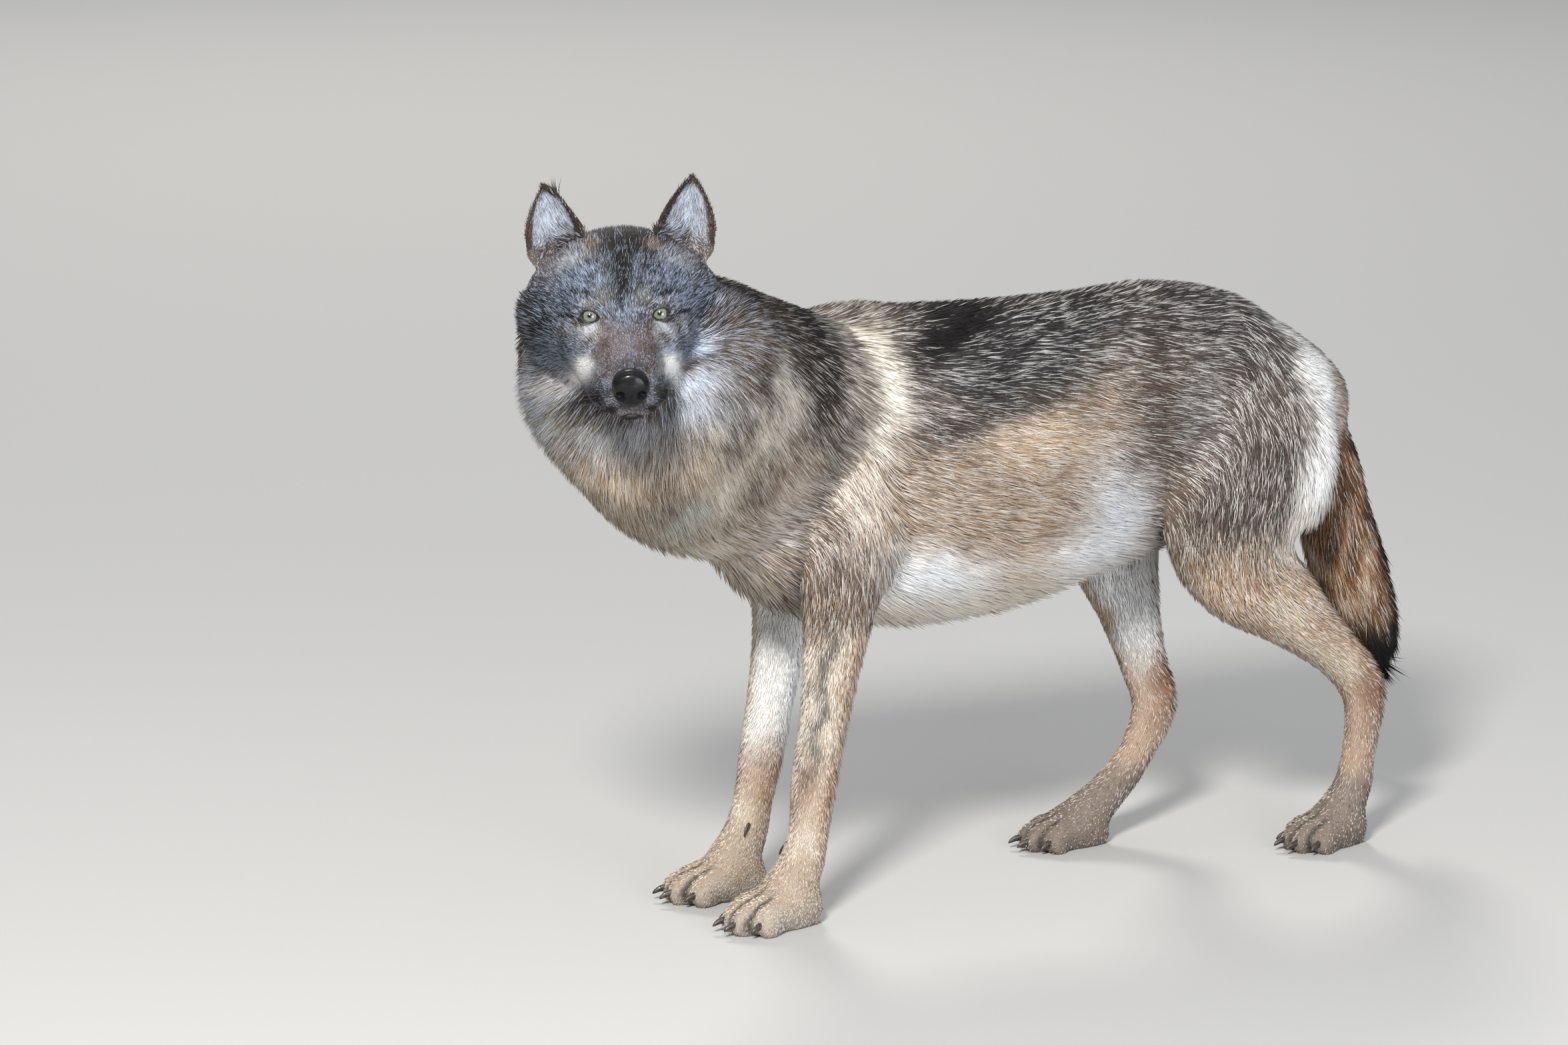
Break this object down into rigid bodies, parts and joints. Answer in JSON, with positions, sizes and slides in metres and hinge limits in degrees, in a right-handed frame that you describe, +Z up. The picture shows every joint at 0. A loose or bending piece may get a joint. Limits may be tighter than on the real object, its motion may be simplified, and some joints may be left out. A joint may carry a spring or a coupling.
{
  "type": "timber wolf",
  "caption": "Standing timber wolf with its head turned to look aside, a life-size still model of the animal in its full coat.",
  "frame": {"origin": "on the floor, under the middle of the whole animal's box", "axes": "+Z up, the trunk lies along X with the forelegs towards -X and the tail towards +X, the wolf's left side is towards -Y and its head looks towards -Y"},
  "size_m": [1.3066, 0.492, 0.9641],
  "materials": {
    "fur_head": "short grizzled fur, grey and brown with paler patches beside the muzzle",
    "fur_neck": "long banded fur, cream, tan and black-tipped",
    "fur_trunk": "grizzled fur, dark along the back, tan on the flank, cream below",
    "fur_tail": "long fur, dark outline and tip, rusty tan between",
    "fur_leg": "short tan to cream fur",
    "fur_paw": "short greyish tan fur",
    "fur_ear": "short dark brown fur with pale grey inside",
    "nose_leather": "moist black leather",
    "eye": "pale yellow-green iris with a black pupil under a clear moist surface",
    "claw_horn": "dark horn"
  },
  "bodies": {
    "root": {"claw_fore_left_1": "claw_horn", "claw_fore_left_2": "claw_horn", "claw_fore_left_3": "claw_horn", "claw_fore_left_4": "claw_horn", "claw_fore_left_dew": "claw_horn", "claw_fore_right_1": "claw_horn", "claw_fore_right_2": "claw_horn", "claw_fore_right_3": "claw_horn", "claw_fore_right_4": "claw_horn", "claw_fore_right_dew": "claw_horn", "claw_hind_left_1": "claw_horn", "claw_hind_left_2": "claw_horn", "claw_hind_left_3": "claw_horn", "claw_hind_left_4": "claw_horn", "claw_hind_right_1": "claw_horn", "claw_hind_right_2": "claw_horn", "claw_hind_right_3": "claw_horn", "claw_hind_right_4": "claw_horn", "ear_left": "fur_ear", "ear_right": "fur_ear", "eye_left": "eye", "eye_right": "eye", "forearm_fore_left": "fur_leg", "forearm_fore_right": "fur_leg", "head": "fur_head", "hock_hind_left": "fur_leg", "hock_hind_right": "fur_leg", "jaw": "fur_head", "neck": "fur_neck", "nose": "nose_leather", "pastern_fore_left": "fur_leg", "pastern_fore_right": "fur_leg", "paw_fore_left": "fur_paw", "paw_fore_right": "fur_paw", "paw_hind_left": "fur_paw", "paw_hind_right": "fur_paw", "tail": "fur_tail", "thigh_hind_left": "fur_leg", "thigh_hind_right": "fur_leg", "trunk": "fur_trunk"}
  },
  "joints": []
}
